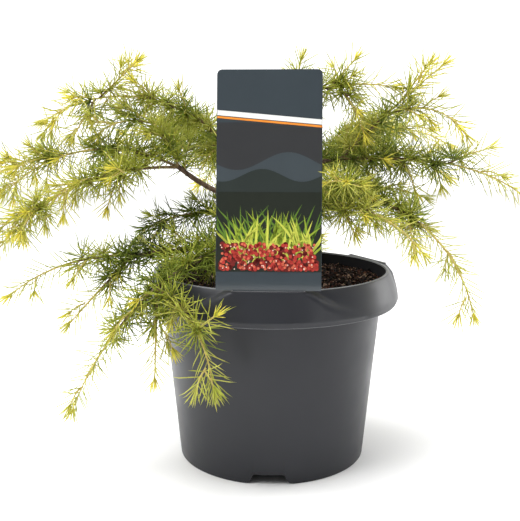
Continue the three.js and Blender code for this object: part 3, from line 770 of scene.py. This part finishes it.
def make_card(material):
    """The card: rows from the foot of its tongue up to its rounded top corners."""
    top, half, corner = LABEL.top, LABEL.width / 2, LABEL.corner
    shoulder = POCKET.merge[1] + GAP
    arc = np.radians(np.linspace(0, 90, 7))
    rows = [(z, LABEL.tongue / 2) for z in (shoulder - POCKET.slot_depth, shoulder)]
    heights = (shoulder, *np.linspace(174, 182, 9), *np.linspace(190, top - corner, 12))
    rows += [(z, half) for z in heights]
    rows += [(top - corner + corner * sin(a), half - corner + corner * cos(a)) for a in arc[1:]]
    outline = np.array([(side * width, z) for z, width in rows for side in (-1, 1)])
    thick = LABEL.thickness / 2
    vertices = np.concatenate([on_label(outline, thick), on_label(outline, -thick)])
    count = len(rows)
    last, back = 2 * count - 2, 2 * count
    faces = [(0, back, back + 1, 1), (last, last + 1, last + 1 + back, last + back)]
    for r in range(count - 1):
        a, b, c, d = 2 * r, 2 * r + 1, 2 * r + 3, 2 * r + 2
        faces += [(a, b, c, d), (a + back, d + back, c + back, b + back)]
        faces += [(b, b + back, c + back, c), (a, d, d + back, a + back)]
    add_piece("label_card", vertices, faces, [material], "label_card", ["label"], smooth=False)


def printed(name, outlines, colour, layer):
    """Thin closed slips on the label's front, each kind in its own layer."""
    parts = []
    foot = LABEL.thickness / 2 + layer * PRINT.layer
    for outline in outlines:
        count = len(outline)
        vertices = np.concatenate([on_label(outline, foot), on_label(outline, foot + PRINT.thickness)])
        faces = [tuple(range(count))[::-1], tuple(range(count, 2 * count))]
        faces += [(i, (i + 1) % count, (i + 1) % count + count, i + count) for i in range(count)]
        parts.append((vertices, faces))
    add_piece(name, *joined(parts), [card_material(name, colour)], "label_card", smooth=False)


def strips(xs, lower, upper):
    """Quads across the label between two heights, each given as one or for every x."""
    low, high = (np.stack([xs, np.broadcast_to(edge, xs.shape)], axis=1) for edge in (lower, upper))
    return [(low[i], low[i + 1], high[i + 1], high[i]) for i in range(len(xs) - 1)]


def blade(foot, azimuth, bend, length, width):
    """An arching grass blade as a slim outline."""
    shares = np.linspace(0, 1, 9)
    turns = np.radians(azimuth + bend * shares)
    steps = np.stack([np.sin(turns), np.cos(turns)], axis=1) * length / 8
    line = np.array(foot) + np.concatenate([[(0, 0)], np.cumsum(steps[:-1], axis=0)])
    sides = np.stack([np.cos(turns), -np.sin(turns)], axis=1)
    half = (width / 2 * np.sin(pi * (0.12 + 0.88 * shares)) + 0.02)[:, None]
    return np.concatenate([line + sides * half, (line - sides * half)[::-1]])


def disc(centre, radius, sides=7):
    return [np.add(centre, on_circle(radius, a)) for a in all_round(sides) + centre[0]]


def make_label_print():
    """A plain garden design: a two-coloured stripe over hills, tall grasses and round blossoms."""
    random = np.random.default_rng(3)
    chance = random.uniform
    low, high = PRINT.picture
    edge = LABEL.width / 2 - PRINT.border
    xs = np.linspace(-edge, edge, 25)
    stripe = PRINT.field + 2 - PRINT.stripe_slope * xs
    printed("print_field", strips(xs, high, PRINT.field), (0.030, 0.031, 0.033), 1)
    printed("print_ground", strips(xs, low, high), (0.012, 0.016, 0.010), 1)
    hills = [(274, 7, 13, 0.4, (0.045, 0.058, 0.066)), (263, 5, 10, 2.1, (0.020, 0.027, 0.024))]
    for i, (height, swell, wave, start, colour) in enumerate(hills):
        crest = height + swell * np.sin(xs / wave + start)
        printed(f"print_hill_{i + 1}", strips(xs, high, crest), colour, 2 + i)
    printed("print_stripe_pale", strips(xs, stripe, stripe + 4), (0.80, 0.80, 0.78), 2)
    printed("print_stripe_orange", strips(xs, stripe - 2.2, stripe - 0.6), (0.80, 0.26, 0.03), 2)

    greens = [(0.10, 0.19, 0.02), (0.27, 0.36, 0.03), (0.55, 0.58, 0.08)]
    for layer, colour in enumerate(greens):
        blades = []
        for _ in range(PRINT.blades):
            foot = (chance(-30, 34), low + chance(6, 16))
            lean = chance(-34, 34)
            length = chance(24, 46) - 5 * layer
            outline = blade(foot, lean, lean * chance(0.6, 1.8), length, 1.8)
            outline[:, 0] = np.clip(outline[:, 0], -edge, edge)
            blades.append(outline)
        printed(f"print_grass_{layer + 1}", blades, colour, 4 + layer)

    reds = [(0.16, 0.012, 0.010), (0.42, 0.035, 0.025), (0.62, 0.13, 0.07), (0.75, 0.52, 0.42)]
    for layer, (colour, count, size) in enumerate(zip(reds, (150, 130, 70, 40), (2.0, 1.6, 1.1, 0.6))):
        places = [(chance(-38, 38), low + 2 + 20 * random.random() ** 1.4) for _ in range(count)]
        printed(f"print_blossom_{layer + 1}", [disc(place, size) for place in places], colour, 7 + layer)


# --- Bark ---


def bark_relief(line, sides, rough, stretch):
    """Furrows and plates for every ring and angle of a limb."""
    length = line_length(line)
    relief = np.ones((len(line), sides))
    for i, share in enumerate(shares_of(line)):
        for j, a in enumerate(all_round(sides)):
            place = Vector((cos(a) * 1.6, sin(a) * 1.6, share * length / stretch))
            relief[i, j] += rough * noise.fractal(place, 0.8, 2.2, 3)
    return relief


def make_trunk(material):
    line = smoothed(AXIS, 1.6)
    shares = shares_of(line)
    rise = shares * TRUNK_HEIGHT / TRUNK.flare_height
    sides = 40
    angles = all_round(sides)
    radius = mix(TRUNK.foot_radius, TRUNK.tip_radius, shares)
    flare = TRUNK.flare * np.maximum(0, 1 - rise) ** 2
    lobed = 1 + TRUNK.lobe_depth * np.cos(TRUNK.lobes * angles)
    relief = bark_relief(line, sides, 0.13, 7)
    swell = (radius[:, None] + flare[:, None] * lobed) / radius[:, None]
    vertices, faces = tube(line, radius, sides, relief * swell)
    vertices[:, 2] = np.maximum(vertices[:, 2], SOIL.height - 1)
    add_piece("trunk_bark", vertices, faces, [material], "bark", ["trunk"])


def make_boughs(material):
    for name, bough in BOUGH_LINES.items():
        line = smoothed(bough, 1.8)
        shares = shares_of(line)
        radius = BARK_DEPTH + mix(LIMB.foot_radius, LIMB.tip_radius, shares)
        collar = 1 + 0.45 * np.exp(-shares * line_length(line) / 5)
        limb = tube(line, radius * collar, 16, bark_relief(line, 16, 0.12, 4))
        add_piece(f"bark_{name}", *limb, [material], "bark", [f"bough_{name}"])


# --- Twigs and needles ---

GOLDEN_ANGLE = radians(137.5)


def tint_of(youth, random):
    """The tint of a spray, from 1 at the youngest tips to 0 deep inside, with some scatter."""
    place = (1 - youth) * (len(TINTS) - 1) + TINT_SCATTER * (random() - 0.5)
    return int(np.clip(round(place), 0, len(TINTS) - 1))


def station(line, frames, share, turn):
    """The point at a share of a line, the line's direction there, and one across it at a turn."""
    i = int(share * (len(line) - 1))
    return *along(line, share), leaning(frames[0][i], frames[1][i], turn)


def bottlebrush(plant, line, start, youth, random):
    """Single needles all round a young shoot, closing into a brush at its tip."""
    frames = frames_along(line)
    count = int(line_length(line) * (1 - start) / YOUNG.spacing)
    if count < 2:
        return
    turn = tau * random()
    needles = []
    for k in range(count):
        t = (k + 0.5) / count
        point, way, out = station(line, frames, mix(start, 1, t), turn + k * GOLDEN_ANGLE)
        closing = smoothstep(t, 0.7, 1)
        lean = radians(YOUNG.angle[0] - YOUNG.angle[1] * t - YOUNG.closing * closing
                            + YOUNG.jitter * (2 * random() - 1))
        length = NEEDLE.length * between(random, YOUNG.lengths) * (1 - (1 - YOUNG.tip_length) * closing)
        needles.append((point, leaning(way, out, lean), length))
    cut = max(1, count // 3)
    for first in range(0, count, cut):
        t = (first + cut / 2) / count
        plant.sprays.append((needles[first:first + cut], tint_of(youth * (0.7 + 0.25 * t), random)))
    needles = []
    low, high = YOUNG.tip_angle
    for k in range(YOUNG.tip_count):
        tip, way, out = station(line, frames, 1, turn + k * GOLDEN_ANGLE)
        way_out = leaning(way, out, radians(mix(low, high, k / YOUNG.tip_count)))
        length = NEEDLE.length * YOUNG.tip_length * between(random, YOUNG.tip_lengths)
        needles.append((tip - way * 1.5, way_out, length))
    plant.sprays.append((needles, tint_of(min(1, youth * TIP_YOUTH), random)))


def rosettes(plant, line, radius, start, end, youth, random):
    """Short spurs on older wood, each with a whorl of needles."""
    frames = frames_along(line)
    count = int(line_length(line) * (end - start) / ROSETTE.spacing)
    turn = tau * random()
    low, high = ROSETTE.angle
    for k in range(count):
        share = mix(start, end, (k + 0.25 + 0.5 * random()) / count)
        point, way, out = station(line, frames, share, turn + k * GOLDEN_ANGLE)
        spur = unit(out + way * ROSETTE.forward + UP * ROSETTE.lift)
        tip = point + spur * (radius + ROSETTE.knob)
        plant.knobs.append((point, tip))
        number = int(between(random, ROSETTE.count))
        u = unit(np.cross(spur, UP + way * 0.3))
        v = np.cross(spur, u)
        needles = []
        for n in range(number):
            lean = radians(mix(low, high, sqrt((n + 0.5) / number)) + 8 * (random() - 0.5))
            way_out = leaning(spur, leaning(u, v, n * GOLDEN_ANGLE), lean)
            needles.append((tip - spur * 0.8, way_out, NEEDLE.length * between(random, ROSETTE.lengths)))
        plant.sprays.append((needles, tint_of(youth * (0.8 + 0.35 * random()), random)))


def grow_group(plant, shoots, rank, youth_and_painted_light, random, bare=0):
    """Twigs and needles on shoots of one rank."""
    # The mass's factor shifts all its tints, partly the needles' own colour and partly painted shade and
    # painted light.
    foot, old, youth = TWIG_RADIUS[rank], OLD_SHARE[rank], YOUTH[rank] * youth_and_painted_light
    for shoot in shoots:
        line = smoothed(shoot, 4)
        radii = mix(foot, TWIG_TIP, shares_of(line))
        cut = int(len(line) * old)
        if cut > 1:
            plant.old_twigs.append(tube(line[:cut + 1], radii[:cut + 1], 7))
            first = max(0.03, BARE_OF_SPURS * bare / line_length(line))
            rosettes(plant, line, foot, first, old, youth * ROSETTE.youth, random)
        plant.young_twigs.append(tube(line[cut:], radii[cut:], 6))
        bottlebrush(plant, line, old, youth, random)


def mass_shoots(name, lines, *rule):
    """The side shoots of some lines of a mass that keep to its space."""
    return [shoot for line in lines for shoot in side_shoots(line, *rule) if may_grow(shoot, name)]


def grow_mass(plant, name, seed):
    lines = MASS_LINES[name]
    sides = mass_shoots(name, lines, seeded(seed), SIDE_SHOOTS)
    random = seeded(seed + len(MASSES))
    fine = mass_shoots(name, [*lines, *sides], random, FINE_SHOOTS, FINE_SHARES.get(name, FINE_SHARE))
    bare = BARE_STEMS.get(name, 0)
    sides, fine = ([shoot for shoot in shoots if dist(shoot[0], lines[0][0]) >= bare]
                   for shoots in (sides, fine))
    for rank, shoots in enumerate([lines[:1], lines[1:], sides, fine]):
        grow_group(plant, shoots, rank, YOUTH_AND_PAINTED_LIGHT.get(name, 1), random, bare if rank == 0 else 0)


def grow_bough(plant, name, seed):
    """Short shoots and rosettes on the outer part of a bough."""
    random = seeded(seed)
    line, bare = BOUGH_LINES[name], BARE_BOUGHS.get(name, BARE_BOUGH)
    shoots = side_shoots(line, random, BOUGH_SHOOTS)
    shoots = [shoot for shoot in shoots[int(bare * len(shoots)):] if clear_shoot(shoot)]
    grow_group(plant, shoots, 3, BOUGH_YOUTH, random)
    youth = BOUGH_YOUTH * ROSETTE.bough_youth
    rosettes(plant, smoothed(line, 4), LIMB.foot_radius, bare, 1, youth, random)


def needle_arrays(plant):
    every = [needle for needles, _ in plant.sprays for needle in needles]
    bases, ways, lengths = map(np.array, zip(*every))
    tints = np.concatenate([np.full(len(needles), tint) for needles, tint in plant.sprays])
    clear = np.ones(len(bases), bool)
    for share in TEST_SHARES:
        points = bases + ways * (lengths * share)[:, None]
        clear &= clear_of_pot(points) & clear_of_label(points) & clear_of_limbs(points, 0)
    return bases[clear], ways[clear], lengths[clear], tints[clear]


def needle_mesh(bases, ways, lengths, random):
    """Slim curved needles of three sides, pointed at the tip."""
    count = len(bases)
    across = np.cross(ways, UP + 0.01)
    across /= norm(across, axis=1)[:, None]
    over = np.cross(across, ways)
    spin = random.random(count)[:, None] * tau
    bow = (across * np.cos(spin) + over * np.sin(spin) - UP * 0.4) * (lengths * NEEDLE.bow)[:, None]
    rings = []
    for share, thickness, curve in ((0, 0.7, 0), (0.3, 1, 0.6), (0.72, 0.85, 0.75)):
        centre = bases + ways * (lengths * share)[:, None] + bow * curve * share
        for a in all_round(3):
            rings.append(centre + leaning(across, over, a) * (NEEDLE.radius * thickness))
    rings.append(bases + ways * lengths[:, None] - bow * 0.25)
    vertices = np.stack(rings, axis=1).reshape(-1, 3)
    first = np.arange(count)[:, None] * 10
    quads = [(r + j, r + (j + 1) % 3, r + (j + 1) % 3 + 3, r + j + 3) for r in (0, 3) for j in range(3)]
    tips = [(6 + j, 6 + (j + 1) % 3, 9) for j in range(3)]
    faces = []
    for shape in (*quads, *tips, (2, 1, 0)):
        faces.extend(map(tuple, (first + np.array(shape)).tolist()))
    return vertices, faces


def make_foliage(old_bark, young_bark):
    plant = Values(sprays=[], old_twigs=[], young_twigs=[], knobs=[])
    for i, name in enumerate(MASSES):
        grow_mass(plant, name, FIRST_SEED + i)
    for i, name in enumerate(BOUGHS):
        grow_bough(plant, name, FIRST_SEED + 2 * len(MASSES) + i)
    nodes = [f"foliage_{name}" for name in MASSES]
    add_piece("twigs_old", *joined(plant.old_twigs), [old_bark], "bark", nodes)
    add_piece("twigs_young", *joined(plant.young_twigs), [young_bark], "bark", nodes)
    knob = np.array((0.8, 1, 0.75)) * ROSETTE.knob_radius
    knobs = [tube(np.linspace(foot, tip, 3), knob, 6) for foot, tip in plant.knobs]
    add_piece("spurs", *joined(knobs), [old_bark], "bark")
    random = np.random.default_rng(7)
    bases, ways, lengths, tints = needle_arrays(plant)
    each = PIECE_LIMIT // NEEDLE.triangles
    for tint, (name, colour) in enumerate(TINTS.items()):
        chosen = np.flatnonzero(tints == tint)
        material = needle_material(f"needle_{name}", colour)
        for k in range(0, len(chosen), each):
            part = chosen[k:k + each]
            vertices, faces = needle_mesh(bases[part], ways[part], lengths[part], random)
            add_piece(f"needles_{name}_{k // each + 1}", vertices, faces, [material], "needles", nodes)


# --- Camera, light and floor ---

CAMERA = Values(place=(-0.011, -0.7171, 0.3027), pitch=90 - 9.775, focal_pixels=791.5, frame=521)
# The studio's walls: dim on the camera's side, white behind the plant, and a change between.
WORLD = Values(light=(0.2, 1.6), change=(-0.6, 0.4))
# Each lamp: its place, size and power.
LIGHTS = dict(
    key=((-1.5, -1.0, 1.8), 1.0, 11),
    top=((-0.4, -0.1, 1.8), 1.3, 42),
    left=((-1.6, 0.5, 0.5), 0.9, 12),
    right=((1.6, 0.7, 0.5), 0.9, 10),
)


def make_studio():
    scene = bpy.context.scene
    scene.view_settings.view_transform = "Standard"
    data = bpy.data.cameras.new("camera")
    data.sensor_width = 36
    data.lens = CAMERA.focal_pixels / CAMERA.frame * data.sensor_width
    camera = placed("camera", data)
    camera.location = CAMERA.place
    camera.rotation_euler = (radians(CAMERA.pitch), 0, 0)
    scene.camera = camera

    world = bpy.data.worlds.new("studio")
    world.use_nodes = True
    tree = world.node_tree
    place = new_node(tree, "TexCoord")
    split = new_node(tree, "SeparateXYZ")
    tree.links.new(place.outputs["Generated"], split.inputs["Vector"])
    strength = range_node(tree, split.outputs["Y"], WORLD.change, WORLD.light)
    background = set_sockets(tree.nodes["Background"], Color=(1, 1, 1, 1))
    tree.links.new(strength, background.inputs["Strength"])
    scene.world = world

    for name, (place, size, power) in LIGHTS.items():
        light = bpy.data.lights.new(name, "AREA")
        light.size, light.energy = size, power
        lamp = placed(name, light)
        lamp.location = place
        lamp.rotation_euler = (Vector((0, 0, 0.2)) - Vector(place)).to_track_quat("-Z", "Y").to_euler()

    mesh = bpy.data.meshes.new("floor")
    mesh.from_pydata([(-3, -3, 0), (3, -3, 0), (3, 3, 0), (-3, 3, 0)], [], [(0, 1, 2, 3)])
    mesh.materials.append(new_material("floor", Base_Color=(0.96, 0.96, 0.96, 1), Roughness=0.9)[0])
    floor = placed("floor", mesh)


make_studio()
# The second plastic is a darker copy of the first, painted as shade on the pot's inside.
make_pot(plastic_material("moulded_plastic", (0.021, 0.022, 0.026), (0.027, 0.028, 0.033), 0.4, 0.27),
         plastic_material("shaded_plastic", (0.006, 0.006, 0.007), (0.010, 0.010, 0.012), 0.85, 0.08),
         # A pale copy of the plastic, painted as a highlight along the crest and the lip.
         plastic_material("painted_highlight_plastic", (0.14, 0.143, 0.15), (0.19, 0.193, 0.20), 0.45, 0.27))
make_soil_bed(soil_material("soil_dark", (0.006, 0.004, 0.003), (0.025, 0.014, 0.010)))
make_soil_chips([
    soil_material("peat_black", (0.006, 0.004, 0.003), (0.018, 0.011, 0.008)),
    soil_material("peat_brown", (0.022, 0.009, 0.005), (0.050, 0.021, 0.013)),
    soil_material("bark_red", (0.055, 0.020, 0.012), (0.12, 0.050, 0.033)),
    soil_material("bark_pale", (0.23, 0.14, 0.10), (0.42, 0.29, 0.21)),
])
make_card(card_material("card_slate", (0.035, 0.047, 0.056)))
make_label_print()
make_trunk(bark_material("trunk_bark", (0.05, 0.033, 0.022), (0.12, 0.08, 0.055), (0.25, 0.19, 0.14)))
make_boughs(bark_material("bough_bark", (0.045, 0.028, 0.018), (0.11, 0.07, 0.045), (0.22, 0.15, 0.10)))
make_foliage(bark_material("old_twig_bark", (0.10, 0.062, 0.03), (0.19, 0.13, 0.06), (0.31, 0.23, 0.12)),
             bark_material("young_twig_bark", (0.46, 0.35, 0.10), (0.57, 0.46, 0.14), (0.66, 0.57, 0.22)))
